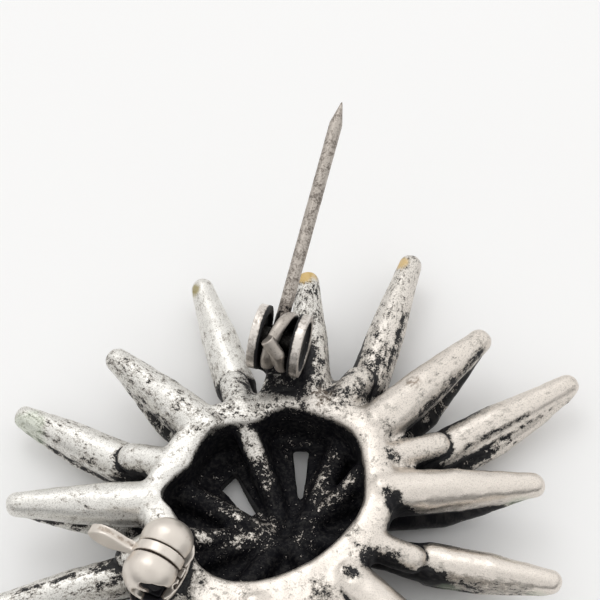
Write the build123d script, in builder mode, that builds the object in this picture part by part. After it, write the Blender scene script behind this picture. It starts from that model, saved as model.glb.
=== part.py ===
from build123d import *
import math
import os

os.makedirs("parts", exist_ok=True)

# Starburst brooch, lying face down. Millimetres.
# +Z is up (out of the brooch's back), +Y runs to the hinge side, the origin is
# under the middle of the burst, on the surface that the front rests on.

# ---- driving sizes -------------------------------------------------------
hub_x, hub_y = -0.8, -2.2          # middle of the front's hub
hub_flat_r = 4.4                   # worn flat that the front rests on
hub_dome_r = 8.6                   # edge of the shallow front dome
floor_low = 1.5                    # underside of the floor at the dome's edge
floor_top = 2.2                    # floor of the hollow
ring_x, ring_y = -2.3, -0.6        # middle of the hollow's mouth
drum_wall = 1.15                   # wall between the two tiers
drum_top = 5.9
ring_low, ring_top = 4.7, 7.8      # the heavy ring around the hollow
ring_edge_r = 0.75                 # its worn edges

front_root_r, front_tip_r = 2.0, 1.12
back_root_r, back_tip_r = 2.25, 1.18
spike_belly = 0.22                 # how much a prong swells at mid length
rib_hub_r = 0.95                   # thin inner end of a front prong
rib_hub_z = 2.3
# deeper underside of a prong, as share of its length, drop and radius: at its knee, at its end
back_keel = (0.42, 3.4, 1.75, 0.92, 0.6, 1.1)
front_keel = (0.45, 1.1, 1.6, 0.96, 0.7, 1.0)

# joint for the pin
joint_x, joint_y, joint_z = -1.15, 13.3, 11.7
joint_deg = -15.6                  # the hinge axis, seen from above, from +X
ear_left_r, ear_right_r, ear_t = 3.12, 3.02, 1.05   # the left ear is a little larger
ear_gap = 2.9                      # between the two ears
ear_dish_r, ear_dish = 2.35, 0.35
rivet_r, rivet_hole_gap = 1.1, 0.03
leg_front, leg_back = 0.6, -2.3    # the ears' legs, along the closed pin's direction
plate_low, plate_top = 6.4, 7.38   # the plate that joins the legs, under the wire's tail
neck_left, neck_right = -1.0, 2.25 # the neck, along the hinge axis
neck_front, neck_back = 4.4, -2.3
neck_low = 4.6

# pin
wire_r = 0.68
stem_r = 0.66                      # the free stem is drawn a little thinner
stem_base, stem_taper = 3.0, 0.8   # straight full wire beyond the coil, then the step down
coil_r = 2.25                      # centre line of the wire's coil
coil_s = 0.72                      # half of the coil's width, centre to centre
open_deg = 162.5                   # the stem from its closed direction
stem_len = 25.7
stem_point = 2.4                   # length of the sharpened end
tail_turn_deg = -20.0              # where the tail leaves the coil
closed_drop_deg = 8.5              # the closed stem slopes down to the catch

# roll-over catch
catch_x, catch_y, catch_z = -11.84, -8.9, 10.3
catch_deg = -25.0                  # its mouth's direction, seen from above
dome_r = 2.62
catch_half_len = 3.8
bore_r = 1.75
mouth_h = 1.7
slot_t = 1.3                       # slot for the turning plate
plate_t, plate_r = 1.0, 2.55
rotor_r, rotor_half_len = 1.67, 3.0
rotor_mouth = 1.5
lever_reach, lever_root_w, lever_tip_w = 7.1, 1.5, 2.7
lever_t = 0.95
foot_half_len, foot_half_w = 4.3, 2.3
foot_low, foot_top = 5.2, 8.15
lip_gap = 0.7                      # dark gap between the near dome and the foot

# ---- tables --------------------------------------------------------------
# mouth of the hollow and the ring's outer edge, measured from the ring's middle
RING = [  # angle_deg, hollow_r, outer_r
    (-173, 9.6, 11.9), (-150, 8.6, 11.9), (-128, 9.6, 13.1), (-106, 9.4, 13.4),
    (-82, 8.4, 12.8), (-56, 8.0, 12.1), (-30, 8.2, 11.4), (-8, 8.9, 11.7),
    (16, 9.4, 12.1), (38, 10.2, 12.8), (62, 9.4, 12.0), (82, 9.0, 11.3),
    (102, 7.5, 10.4), (120, 8.2, 10.8), (142, 8.1, 10.8), (160, 7.9, 10.9),
    (174, 9.3, 11.5),
]

# back tier: each prong grows out of the ring
BACK = [  # name, root_x, root_y, root_z, tip_x, tip_y, tip_z, keel_x, keel_y
    ("b", -10.9, -1.1, 6.0, -25.7, -0.8, 5.3, 0.0, 0.0),
    ("d", -7.6, 6.2, 6.0, -17.1, 15.1, 5.2, -0.1, -0.1),
    ("f", 1.7, 8.9, 5.7, 1.5, 24.1, 5.2, -0.3, 0.0),
    ("h", 7.75, 6.85, 6.0, 18.4, 17.2, 5.3, 0.4, -0.4),
    ("j", 8.0, -0.1, 6.0, 22.7, 1.2, 5.4, 0.0, -0.2),
    ("l", 4.6, -8.6, 6.0, 17.4, -19.4, 5.2, -0.2, -0.3),
    ("n", -3.4, -11.4, 6.0, -1.6, -25.6, 5.2, 0.0, 0.0),
    ("p", -9.6, -8.6, 5.7, -18.6, -19.3, 5.2, 0.0, 0.0),
]

# front tier: each prong runs from the hub, under the ring, to its tip
FRONT = [  # name, inner_x, inner_y, root_x, root_y, root_z, tip_x, tip_y, tip_z, keel_x, keel_y
    ("a", -2.2, -3.0, -14.0, -6.9, 3.3, -26.6, -10.0, 3.0, 0.0, 0.0),
    ("c", -1.9, -2.9, -15.8, 4.4, 3.4, -26.0, 9.9, 3.0, -0.1, -0.2),
    ("e", -1.2, -1.0, -5.4, 12.8, 3.4, -9.1, 24.8, 3.0, 0.0, 0.0),
    ("g", 1.8, -0.6, 7.2, 12.6, 3.4, 12.0, 27.5, 3.3, -0.35, 0.0),
    ("i", 0.8, -1.6, 13.2, 5.1, 3.5, 27.0, 13.1, 3.6, 0.4, -0.9),
    ("k", 0.8, -2.9, 12.6, -6.0, 3.5, 23.8, -8.4, 4.6, 0.0, 0.0),
    ("m", 0.0, -3.6, 6.2, -13.4, 3.4, 12.0, -25.6, 3.1, 0.0, 0.0),
    ("o", -1.4, -3.8, -8.2, -14.2, 3.4, -11.8, -25.6, 3.0, 0.0, 0.0),
]

# short stubs of the ring that lap over the front prongs
STUBS = [  # name, start_x, start_y, start_z, end_x, end_y, end_z, radius
    ("a", -11.6, -4.9, 6.3, -14.9, -6.2, 5.0, 1.5),
    ("c", -11.2, 2.9, 6.4, -15.15, 4.15, 5.15, 1.5),
    ("e", -4.7, 8.6, 6.5, -5.65, 12.1, 5.3, 1.5),
    ("g", 4.4, 9.2, 6.4, 6.5, 12.6, 5.1, 1.6),
    ("i", 8.0, 3.1, 6.3, 13.8, 5.6, 5.1, 1.4),
    ("k", 7.2, -5.4, 6.3, 11.1, -6.35, 5.2, 1.4),
    ("m", 3.4, -10.6, 6.3, 5.9, -13.6, 5.1, 1.5),
    ("o", -6.6, -11.6, 6.3, -8.2, -14.2, 5.1, 1.5),
]

# struts that slope from the ring down to the hub, inside the hollow
STRUTS = [  # name, rim_x, rim_y, rim_z, hub_x, hub_y, hub_z, rim_r, hub_r
    ("e", -4.7, 7.4, 6.2, -1.6, 0.6, 2.6, 1.15, 0.95),
    ("i", 7.2, 2.9, 5.6, 2.4, -0.8, 2.3, 0.95, 0.85),
    ("a", -10.9, -4.4, 5.4, -4.4, -3.0, 2.4, 1.1, 0.9),
]

# openings through the floor, between the prongs' inner ends
SLOTS = [  # name, then four corners x1,y1,x2,y2,x3,y3,x4,y4
    ("f", 0.1, 6.7, 1.6, 6.7, 1.0, 1.6, 0.6, 1.6),
    ("d", -6.8, 2.6, -5.4, 4.1, -3.2, 0.3, -4.1, -0.5),
]


# the wire's short cut tail, after the coil: along the closed pin, up, along the axis
TAIL = [  # forward, up, along_axis
    (2.5, 1.7, 0.5),
    (1.95, 2.95, -0.68),
]


def ring_points(column, grow=0.0):
    return [
        (ring_x + (row[column] + grow) * math.cos(math.radians(row[0])),
         ring_y + (row[column] + grow) * math.sin(math.radians(row[0])))
        for row in RING
    ]


def keel(root, tip, lean, knee_share, knee_drop, knee_r, end_share, end_drop, end_r):
    """The two runs of the keel under a prong: level with the knee, then up to its end."""
    def under(share, drop, lean_share):
        x, y, z = (p + (q - p) * share for p, q in zip(root, tip))
        return (x + lean[0] * lean_share, y + lean[1] * lean_share, z - drop)
    start, knee, end = under(0, knee_drop, 1), under(knee_share, knee_drop, 1), under(end_share, end_drop, 0.2)
    return [(start, knee, knee_r, knee_r, 0.0), (knee, end, knee_r, end_r, 0.05)]


# every prong, keel, stub, rib and strut as start, end, start_r, end_r, belly
OUTSIDE = (
    [((x, y, z), (tx, ty, tz), back_root_r, back_tip_r, spike_belly)
     for name, x, y, z, tx, ty, tz, kx, ky in BACK]
    + [run for name, x, y, z, tx, ty, tz, kx, ky in BACK
       for run in keel((x, y, z), (tx, ty, tz), (kx, ky), *back_keel)]
    + [((x, y, z), (tx, ty, tz), front_root_r, front_tip_r, spike_belly)
       for name, ix, iy, x, y, z, tx, ty, tz, kx, ky in FRONT]
    + [run for name, ix, iy, x, y, z, tx, ty, tz, kx, ky in FRONT
       for run in keel((x, y, z), (tx, ty, tz), (kx, ky), *front_keel)]
    + [((x, y, z), (ex, ey, ez), r, r - 0.05, 0.02)
       for name, x, y, z, ex, ey, ez, r in STUBS]
)
INSIDE = (
    [((ix, iy, rib_hub_z), (x, y, z), rib_hub_r, front_root_r - 0.15, -0.2)
     for name, ix, iy, x, y, z, tx, ty, tz, kx, ky in FRONT]
    + [((x, y, z), (hx, hy, hz), r1, r2, 0.02)
       for name, x, y, z, hx, hy, hz, r1, r2 in STRUTS]
)

# planes of the joint and of the catch
j = math.radians(joint_deg)
joint_axis = Vector(math.cos(j), math.sin(j), 0)
closed_dir = Vector(math.sin(j), -math.cos(j), 0)
joint_at = Vector(joint_x, joint_y, joint_z)
# local x along the closed pin, local y up, local z against the hinge axis
joint_plane = Plane(origin=joint_at, x_dir=closed_dir, z_dir=-joint_axis)

c = math.radians(catch_deg)
mouth_dir = Vector(math.cos(c), math.sin(c), 0)
catch_axis = Vector(math.sin(c), -math.cos(c), 0)
catch_at = Vector(catch_x, catch_y, catch_z)
# local x out of the mouth, local y down, local z along the catch towards the hinge
catch_plane = Plane(origin=catch_at, x_dir=mouth_dir, z_dir=-catch_axis)


# ---- burst casting: both tiers, joint base, ears and catch housing ---------
with BuildPart() as ring_band:
    with BuildSketch(Plane.XY.offset(ring_low)):
        with BuildLine():
            Spline(*ring_points(2), periodic=True)
        make_face()
        with BuildLine():
            Spline(*ring_points(1), periodic=True)
        make_face(mode=Mode.SUBTRACT)
    extrude(amount=ring_top - ring_low)
    fillet(ring_band.faces().sort_by(Axis.Z)[-1].edges(), ring_edge_r)

with BuildPart() as burst_casting:
    # shallow dome of the front, and the floor of the hollow
    with BuildSketch(Plane(origin=(hub_x, hub_y, 0), x_dir=(1, 0, 0), z_dir=(0, -1, 0))):
        with BuildLine():
            Polyline((0, floor_top), (0, 0), (hub_flat_r, 0))
            ThreePointArc((hub_flat_r, 0), (6.9, 0.5), (hub_dome_r, floor_low))
            Polyline((hub_dome_r, floor_low), (hub_dome_r, floor_top), (0, floor_top))
        make_face()
    revolve(axis=Axis((hub_x, hub_y, 0), (0, 0, 1)))
    # floor out to the drum
    with BuildSketch(Plane.XY.offset(floor_low)):
        with BuildLine():
            Spline(*ring_points(1, 0.4), periodic=True)
        make_face()
    extrude(amount=floor_top - floor_low)
    # drum wall
    with BuildSketch(Plane.XY.offset(floor_low)):
        with BuildLine():
            Spline(*ring_points(1, drum_wall), periodic=True)
        make_face()
        with BuildLine():
            Spline(*ring_points(1), periodic=True)
        make_face(mode=Mode.SUBTRACT)
    extrude(amount=drum_top - floor_low)
    add(ring_band.part)

    # both tiers and the stubs between them
    for start, end, start_r, end_r, belly in OUTSIDE:
        a, b = Vector(*start), Vector(*end)
        length = (b - a).length
        side = (b - a).cross(Vector(0, 0, 1))
        with BuildSketch(Plane(origin=a, x_dir=b - a, z_dir=side)):
            with BuildLine():
                Polyline((length + 0.92 * end_r, 0), (-0.8 * start_r, 0), (-0.8 * start_r, 0.45 * start_r),
                         (0, start_r), (length * 0.5, (start_r + end_r) / 2 + belly), (length, end_r))
                ThreePointArc((length, end_r), (length + 0.62 * end_r, 0.8 * end_r),
                              (length + 0.92 * end_r, 0.36 * end_r))
                Line((length + 0.92 * end_r, 0.36 * end_r), (length + 0.92 * end_r, 0))
            make_face()
        revolve(axis=Axis(a, b - a))
    # clear the hollow
    with BuildSketch(Plane.XY.offset(floor_top)):
        with BuildLine():
            Spline(*ring_points(1), periodic=True)
        make_face()
    extrude(amount=ring_top, mode=Mode.SUBTRACT)
    # openings through the floor
    for name, x1, y1, x2, y2, x3, y3, x4, y4 in SLOTS:
        with BuildSketch(Plane.XY):
            with BuildLine():
                Polyline((x1, y1), (x2, y2), (x3, y3), (x4, y4), close=True)
            make_face()
        extrude(amount=floor_top + 1, mode=Mode.SUBTRACT)

    # the front prongs' inner ends and the struts
    for start, end, start_r, end_r, belly in INSIDE:
        a, b = Vector(*start), Vector(*end)
        length = (b - a).length
        side = (b - a).cross(Vector(0, 0, 1))
        with BuildSketch(Plane(origin=a, x_dir=b - a, z_dir=side)):
            with BuildLine():
                Polyline((length + 0.92 * end_r, 0), (-0.8 * start_r, 0), (-0.8 * start_r, 0.45 * start_r),
                         (0, start_r), (length * 0.5, (start_r + end_r) / 2 + belly), (length, end_r))
                ThreePointArc((length, end_r), (length + 0.62 * end_r, 0.8 * end_r),
                              (length + 0.92 * end_r, 0.36 * end_r))
                Line((length + 0.92 * end_r, 0.36 * end_r), (length + 0.92 * end_r, 0))
            make_face()
        revolve(axis=Axis(a, b - a))

    # joint: a neck on the ring, and the plate that joins the ears' legs
    with BuildSketch(joint_plane.offset(-neck_right)):
        with BuildLine():
            Polyline((neck_front, neck_low - joint_z), (neck_front, plate_top - joint_z),
                     (neck_back, plate_top - joint_z), (neck_back, neck_low - joint_z), close=True)
        make_face()
    extrude(amount=neck_right - neck_left)
    with BuildSketch(joint_plane.offset(-ear_gap / 2 - ear_t)):
        with BuildLine():
            Polyline((leg_front, plate_low - joint_z), (leg_front, plate_top - joint_z),
                     (leg_back, plate_top - joint_z), (leg_back, plate_low - joint_z), close=True)
        make_face()
    extrude(amount=ear_gap + 2 * ear_t)
    # two round ears, dished on both faces
    for face, radius in ((-ear_gap / 2 - ear_t, ear_right_r), (ear_gap / 2, ear_left_r)):
        with BuildSketch(joint_plane.offset(face)):
            Circle(radius)
            with BuildLine():
                Polyline((leg_front, 0), (leg_front, plate_low - joint_z), (leg_back, plate_low - joint_z),
                         (leg_back, 0), close=True)
            make_face()
        extrude(amount=ear_t)
    for face, depth in ((-ear_gap / 2 - ear_t, ear_dish), (-ear_gap / 2 - ear_dish, ear_dish),
                        (ear_gap / 2, ear_dish), (ear_gap / 2 + ear_t - ear_dish, ear_dish)):
        with BuildSketch(joint_plane.offset(face)):
            Circle(ear_dish_r)
        extrude(amount=depth, mode=Mode.SUBTRACT)
    with BuildSketch(joint_plane.offset(-ear_gap / 2 - ear_t - 0.5)):
        Circle(rivet_r + rivet_hole_gap)
    extrude(amount=ear_gap + 2 * ear_t + 1, mode=Mode.SUBTRACT)

    # catch housing: a foot and two domes
    with BuildSketch(Plane(origin=(catch_x, catch_y, foot_low), x_dir=mouth_dir, z_dir=(0, 0, 1))):
        Ellipse(foot_half_w, foot_half_len)
    extrude(amount=foot_top - foot_low)
    with BuildSketch(Plane(origin=catch_at, x_dir=-catch_axis, z_dir=-mouth_dir)):
        with BuildLine():
            Spline((-catch_half_len, 1.0), (-catch_half_len * 0.82, 2.05), (-catch_half_len * 0.5, dome_r),
                   (0, dome_r - 0.25), (catch_half_len * 0.5, dome_r), (catch_half_len * 0.82, 2.05),
                   (catch_half_len, 1.0))
            Polyline((catch_half_len, 1.0), (catch_half_len, 0), (-catch_half_len, 0), (-catch_half_len, 1.0))
        make_face()
    revolve(axis=Axis(catch_at, catch_axis))
    # slot for the turning plate, bore for the rotor, side mouth for the pin
    with BuildSketch(catch_plane.offset(-slot_t / 2)):
        Circle(dome_r + 0.25)
    extrude(amount=slot_t, mode=Mode.SUBTRACT)
    with BuildSketch(catch_plane.offset(-rotor_half_len - 0.1)):
        Circle(bore_r)
    extrude(amount=2 * rotor_half_len + 0.2, mode=Mode.SUBTRACT)
    with BuildSketch(catch_plane.offset(-catch_half_len - 1)):
        Circle(mouth_h / 2)
        with Locations((2.5, 0)):
            Rectangle(5, mouth_h)
    extrude(amount=2 * catch_half_len + 2, mode=Mode.SUBTRACT)
    # gap between the near dome and the foot's lip
    with BuildSketch(catch_plane.offset(-catch_half_len - 1)):
        with Locations((0, catch_z - foot_top - lip_gap / 2)):
            Rectangle(3.6, lip_gap)
    extrude(amount=1.9, mode=Mode.SUBTRACT)
burst_casting.part.label = "burst_casting"
print("casting", burst_casting.part.is_valid, round(burst_casting.part.volume, 1), len(burst_casting.part.solids()))

# ---- joint rivet ------------------------------------------------------------
rivet_half = ear_gap / 2 + ear_t - ear_dish
with BuildPart() as joint_rivet:
    with BuildSketch(joint_plane.offset(-rivet_half)):
        Circle(rivet_r)
    extrude(amount=2 * rivet_half)
joint_rivet.part.label = "joint_rivet"

# ---- pin stem, with its coil and cut tail -----------------------------------
o = math.radians(open_deg)
heel_deg = open_deg + 90
top_r = math.hypot(coil_r, coil_s)


def on_coil(deg, radius, along):
    w = math.radians(deg)
    return Vector(*joint_plane.from_local_coords((radius * math.cos(w), radius * math.sin(w), -along)))


stem_dir = closed_dir * math.cos(o) + Vector(0, 0, 1) * math.sin(o)
heel = on_coil(heel_deg, coil_r, -coil_s)
stem_start = heel + stem_dir * stem_base
stem_end = stem_len - stem_base
tail_start = on_coil(tail_turn_deg, coil_r, coil_s)
tail_points = [Vector(*joint_plane.from_local_coords((x, y, -s))) for x, y, s in TAIL]

with BuildPart() as pin_stem:
    # one and a half turns around the rivet: under, up the front, over
    # the top while crossing to the other side, down the back and under again
    with BuildLine() as wire_line:
        Line(stem_start, heel)
        ThreePointArc(heel, on_coil((heel_deg + 360) / 2, coil_r, -coil_s), on_coil(0, coil_r, -coil_s))
        ThreePointArc(on_coil(0, coil_r, -coil_s), on_coil(90, top_r, 0), on_coil(180, coil_r, coil_s))
        ThreePointArc(on_coil(180, coil_r, coil_s), on_coil((180 + 360 + tail_turn_deg) / 2, coil_r, coil_s), tail_start)
    with BuildSketch(Plane(origin=stem_start, z_dir=-stem_dir)):
        Circle(wire_r)
    sweep(path=wire_line.line)
    # short cut tail that stands up in front
    with BuildLine() as tail_line:
        Polyline(tail_start - (tail_points[0] - tail_start).normalized() * 0.2, *tail_points)
    with BuildSketch(Plane(origin=tail_line.line @ 0, z_dir=tail_line.line % 0)):
        Circle(wire_r - 0.01)
    sweep(path=tail_line.line, transition=Transition.ROUND)
    # free stem, with its drawn-out point
    with BuildSketch(Plane(origin=stem_start, x_dir=stem_dir, z_dir=joint_axis)):
        with BuildLine():
            Polyline((0, 0), (0, wire_r), (stem_taper, stem_r), (stem_end - stem_point, stem_r),
                     (stem_end - 0.1, 0.1), (stem_end, 0.05), (stem_end, 0), close=True)
        make_face()
    revolve(axis=Axis(stem_start, stem_dir))
pin_stem.part.label = "pin_stem"
print("pin", pin_stem.part.is_valid, round(pin_stem.part.volume, 2), len(pin_stem.part.solids()))

# ---- catch rotor: a mouthed barrel, its turning plate and lever --------------
with BuildPart() as catch_rotor:
    with BuildSketch(catch_plane.offset(-rotor_half_len)):
        Circle(rotor_r)
    extrude(amount=2 * rotor_half_len)
    with BuildSketch(catch_plane.offset(-plate_t / 2)):
        Circle(plate_r)
    extrude(amount=plate_t)
    # paddle-shaped lever, opposite the mouth
    with BuildSketch(catch_plane.offset(-lever_t / 2)):
        with BuildLine():
            Spline((-1.8, lever_root_w / 2), (-3.4, lever_root_w / 2 - 0.05), (-5.2, lever_tip_w / 2 - 0.05),
                   (-lever_reach + 0.55, lever_tip_w / 2 - 0.5), (-lever_reach, 0),
                   (-lever_reach + 0.55, -lever_tip_w / 2 + 0.5), (-5.2, -lever_tip_w / 2 + 0.05),
                   (-3.4, -lever_root_w / 2 + 0.05), (-1.8, -lever_root_w / 2))
            Line((-1.8, -lever_root_w / 2), (-1.8, lever_root_w / 2))
        make_face()
    extrude(amount=lever_t)
    with BuildSketch(catch_plane.offset(-rotor_half_len - 1)):
        Circle(rotor_mouth / 2)
        with Locations((2.5, 0)):
            Rectangle(5, rotor_mouth)
    extrude(amount=2 * rotor_half_len + 2, mode=Mode.SUBTRACT)
catch_rotor.part.label = "catch_rotor"
print("rotor", catch_rotor.part.is_valid, round(catch_rotor.part.volume, 2), len(catch_rotor.part.solids()))

export_step(burst_casting.part, "parts/burst_casting.step")
export_step(joint_rivet.part, "parts/joint_rivet.step")
export_step(pin_stem.part, "parts/pin_stem.step")
export_step(catch_rotor.part, "parts/catch_rotor.step")
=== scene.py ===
import math
import bmesh
import bpy
import numpy as np
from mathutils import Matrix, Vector, kdtree, noise
from mathutils.bvhtree import BVHTree


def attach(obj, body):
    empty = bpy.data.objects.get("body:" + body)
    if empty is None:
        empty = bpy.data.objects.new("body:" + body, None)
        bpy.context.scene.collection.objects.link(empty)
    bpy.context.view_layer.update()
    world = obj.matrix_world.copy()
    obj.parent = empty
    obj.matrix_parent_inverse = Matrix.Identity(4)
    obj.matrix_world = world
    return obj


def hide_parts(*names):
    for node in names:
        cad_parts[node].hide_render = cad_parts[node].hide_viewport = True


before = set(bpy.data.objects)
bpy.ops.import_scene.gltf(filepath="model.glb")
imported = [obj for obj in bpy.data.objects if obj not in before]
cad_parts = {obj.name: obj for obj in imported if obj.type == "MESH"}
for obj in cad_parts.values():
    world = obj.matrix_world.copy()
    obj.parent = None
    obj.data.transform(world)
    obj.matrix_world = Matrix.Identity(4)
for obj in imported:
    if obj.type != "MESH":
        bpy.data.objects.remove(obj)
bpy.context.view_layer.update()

MM = 0.001

# ---------------------------------------------------------------- camera
cam_data = bpy.data.cameras.new("camera")
cam = bpy.data.objects.new("camera", cam_data)
bpy.context.scene.collection.objects.link(cam)
cam.location = (0.76 * MM, -91.08 * MM, 179.34 * MM)
cam.rotation_euler = (math.radians(33.04), 0, 0)
cam_data.sensor_width = 36
cam_data.lens = 124.75
cam_data.clip_start, cam_data.clip_end = 0.005, 5
bpy.context.scene.camera = cam

# ---------------------------------------------------------------- sizes, mm
JOINT = (-1.15, 13.3, 11.7)
JOINT_DEG = -15.6
CATCH = (-11.84, -8.9, 10.3)
CATCH_DEG = -25.0
RING_AT = (-2.3, -0.6)
RING = [  # angle_deg, hollow_r, outer_r
    (-173, 9.6, 11.9), (-150, 8.6, 11.9), (-128, 9.6, 13.1), (-106, 9.4, 13.4),
    (-82, 8.4, 12.8), (-56, 8.0, 12.1), (-30, 8.2, 11.4), (-8, 8.9, 11.7),
    (16, 9.4, 12.1), (38, 10.2, 12.8), (62, 9.4, 12.0), (82, 9.0, 11.3),
    (102, 7.5, 10.4), (120, 8.2, 10.8), (142, 8.1, 10.8), (160, 7.9, 10.9),
    (174, 9.3, 11.5),
]
FRONT_R, BACK_R, BELLY = (2.0, 1.12), (2.25, 1.18), 0.22
BACK_KEEL = (0.42, 3.4, 1.75, 0.92, 0.6, 1.1)
FRONT_KEEL = (0.45, 1.1, 1.6, 0.96, 0.7, 1.0)

# the 16 prongs in turn, with their looks: mottle (how rough the tarnish is), dark (how dark
# the bright side is), how black the flank is at the root and at the tip, the share of the
# length that the black reaches, how glossy the bright side is, and how black the keel's line is
PRONGS = [  # name, tier, x, y, z, tip_x, tip_y, tip_z, keel_x, keel_y, mottle, dark, flank_root, flank_tip, reach, gloss, line
    ("a", 0, -14.0, -6.9, 3.3, -26.6, -10.0, 3.0, 0.0, 0.0, 0.68, 0.29, 0.75, 0.42, 0.45, 0.3, 0.5),
    ("b", 1, -10.9, -1.1, 6.0, -25.7, -0.8, 5.3, 0.0, 0.0, 0.70, 0.12, 0.55, 0.32, 0.30, 0.3, 0.6),
    ("c", 0, -15.8, 4.4, 3.4, -26.0, 9.9, 3.0, -0.1, -0.2, 0.70, 0.28, 0.58, 0.38, 0.30, 0.2, 0.5),
    ("d", 1, -7.6, 6.2, 6.0, -17.1, 15.1, 5.2, -0.1, -0.1, 0.74, 0.33, 0.75, 0.38, 0.16, 0.2, 0.1),
    ("e", 0, -5.4, 12.8, 3.4, -9.1, 24.8, 3.0, 0.0, 0.0, 0.52, 0.25, 0.66, 0.36, 0.35, 0.2, 0.1),
    ("f", 1, 1.7, 8.9, 5.7, 1.5, 24.1, 5.2, -0.3, 0.0, 0.85, 0.36, 0.88, 0.52, 0.60, 0.2, 0.3),
    ("g", 0, 7.2, 12.6, 3.4, 12.0, 27.5, 3.3, -0.35, 0.0, 0.78, 0.31, 0.88, 0.42, 0.45, 0.2, 0.5),
    ("h", 1, 7.75, 6.85, 6.0, 18.4, 17.2, 5.3, 0.4, -0.4, 0.50, 0.25, 0.88, 0.72, 1.00, 0.6, 0.2),
    ("i", 0, 13.2, 5.1, 3.5, 27.0, 13.1, 3.6, 0.4, -0.9, 0.44, 0.24, 0.86, 0.30, 0.34, 0.6, 0.6),
    ("j", 1, 8.0, -0.1, 6.0, 22.7, 1.2, 5.4, 0.0, -0.2, 0.32, 0.19, 0.98, 0.56, 0.78, 0.9, 0.1),
    ("k", 0, 12.6, -6.0, 3.5, 23.8, -8.4, 4.6, 0.0, 0.0, 0.30, 0.19, 0.92, 0.42, 0.35, 0.9, 0.1),
    ("l", 1, 4.6, -8.6, 6.0, 17.4, -19.4, 5.2, -0.2, -0.3, 0.30, 0.22, 0.85, 0.48, 0.50, 0.7, 0.3),
    ("m", 0, 6.2, -13.4, 3.4, 12.0, -25.6, 3.1, 0.0, 0.0, 0.50, 0.24, 0.75, 0.42, 0.45, 0.5, 0.3),
    ("n", 1, -3.4, -11.4, 6.0, -1.6, -25.6, 5.2, 0.0, 0.0, 0.50, 0.24, 0.75, 0.42, 0.45, 0.4, 0.2),
    ("o", 0, -8.2, -14.2, 3.4, -11.8, -25.6, 3.0, 0.0, 0.0, 0.55, 0.24, 0.75, 0.42, 0.45, 0.4, 0.3),
    ("p", 1, -9.6, -8.6, 5.7, -18.6, -19.3, 5.2, 0.0, 0.0, 0.55, 0.25, 0.75, 0.42, 0.45, 0.3, 0.2),
]
STUBS = [  # name, start_x, start_y, start_z, end_x, end_y, end_z, radius, lap_black
    ("a", -11.6, -4.9, 6.3, -14.9, -6.2, 5.0, 1.5, 0.7),
    ("c", -11.2, 2.9, 6.4, -15.15, 4.15, 5.15, 1.5, 0.9),
    ("e", -4.7, 8.6, 6.5, -5.65, 12.1, 5.3, 1.5, 0.9),
    ("g", 4.4, 9.2, 6.4, 6.5, 12.6, 5.1, 1.6, 1.0),
    ("i", 8.0, 3.1, 6.3, 13.8, 5.6, 5.1, 1.4, 0.8),
    ("k", 7.2, -5.4, 6.3, 11.1, -6.35, 5.2, 1.4, 0.8),
    ("m", 3.4, -10.6, 6.3, 5.9, -13.6, 5.1, 1.5, 0.7),
    ("o", -6.6, -11.6, 6.3, -8.2, -14.2, 5.1, 1.5, 0.7),
]
STRUTS = [  # name, rim_x, rim_y, rim_z, hub_x, hub_y, hub_z, rim_r, hub_r
    ("e", -4.7, 7.4, 6.2, -1.6, 0.6, 2.6, 1.15, 0.95),
    ("i", 7.2, 2.9, 5.6, 2.4, -0.8, 2.3, 0.95, 0.85),
    ("a", -10.9, -4.4, 5.4, -4.4, -3.0, 2.4, 1.1, 0.9),
]
SLOTS = [  # name, then four corners x1,y1,x2,y2,x3,y3,x4,y4
    ("f", 0.1, 6.7, 1.6, 6.7, 1.0, 1.6, 0.6, 1.6),
    ("d", -6.8, 2.6, -5.4, 4.1, -3.2, 0.3, -4.1, -0.5),
]
# how mottled and how dark the ring's top is around its mouth, and how black its outer wall is
RING_LOOK = [  # angle_deg, mottle, dark, wall
    (-150, 0.50, 0.27, 0.3), (-120, 0.50, 0.28, 0.3), (-90, 0.36, 0.26, 0.4), (-60, 0.38, 0.27, 0.8),
    (-30, 0.38, 0.24, 0.9), (0, 0.42, 0.25, 0.9), (40, 0.58, 0.28, 0.6), (60, 0.75, 0.32, 0.4), (80, 0.85, 0.36, 0.4),
    (100, 0.85, 0.36, 0.4), (120, 0.75, 0.32, 0.3), (150, 0.60, 0.27, 0.3), (180, 0.42, 0.23, 0.2),
]
# separate black and bright places; the bright place at (0.7, 8.2, 4.6), low on the hollow's far wall, is a painted
# sheen
PATCHES = [  # x, y, z, radius, amount (black above 0, bright below 0), dent_mm
    (5.25, -9.15, 8.2, 0.8, 0.55, 0.25), (2.7, -10.9, 7.8, 1.3, 0.36, 0.0), (6.9, -7.2, 7.4, 1.4, 0.45, 0.0),
    (7.8, 15.3, 5.3, 1.2, 0.20, 0.0), (11.2, 5.2, 5.2, 1.3, 0.20, 0.0), (-14.4, 2.4, 4.6, 1.3, 0.8, 0.0),
    (9.3, -1.4, 7.4, 1.1, 0.62, 0.15), (10.3, -2.0, 6.0, 1.2, 0.62, 0.10), (8.5, -7.2, 6.0, 1.5, 0.50, 0.10),
    (9.4, 3.3, 7.2, 0.9, 0.40, 0.0), (9.0, 6.4, 7.2, 0.9, 0.35, 0.0), (6.7, 10.8, 6.7, 1.1, 0.25, 0.0),
    (11.5, -5.9, 5.2, 1.0, 0.20, 0.0), (5.3, 1.9, 5.4, 0.9, -0.35, 0.0), (12.8, -8.2, 3.6, 1.8, 0.45, 0.0),
    (-8.2, -4.4, 5.1, 0.8, -0.45, 0.0), (0.7, 8.2, 4.6, 2.4, -0.20, 0.0), (0.6, 10.6, 7.4, 1.5, 0.16, 0.0),
    (-2.6, 10.2, 7.4, 1.3, 0.16, 0.0), (4.6, 9.8, 7.5, 1.4, 0.18, 0.0),
    (-11.5, -1.2, 8.0, 1.2, -0.12, 0.0), (5.8, -4.7, 7.8, 1.0, 0.15, 0.0), (-16.3, -6.3, 4.9, 1.7, 0.45, 0.0),
]
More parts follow.
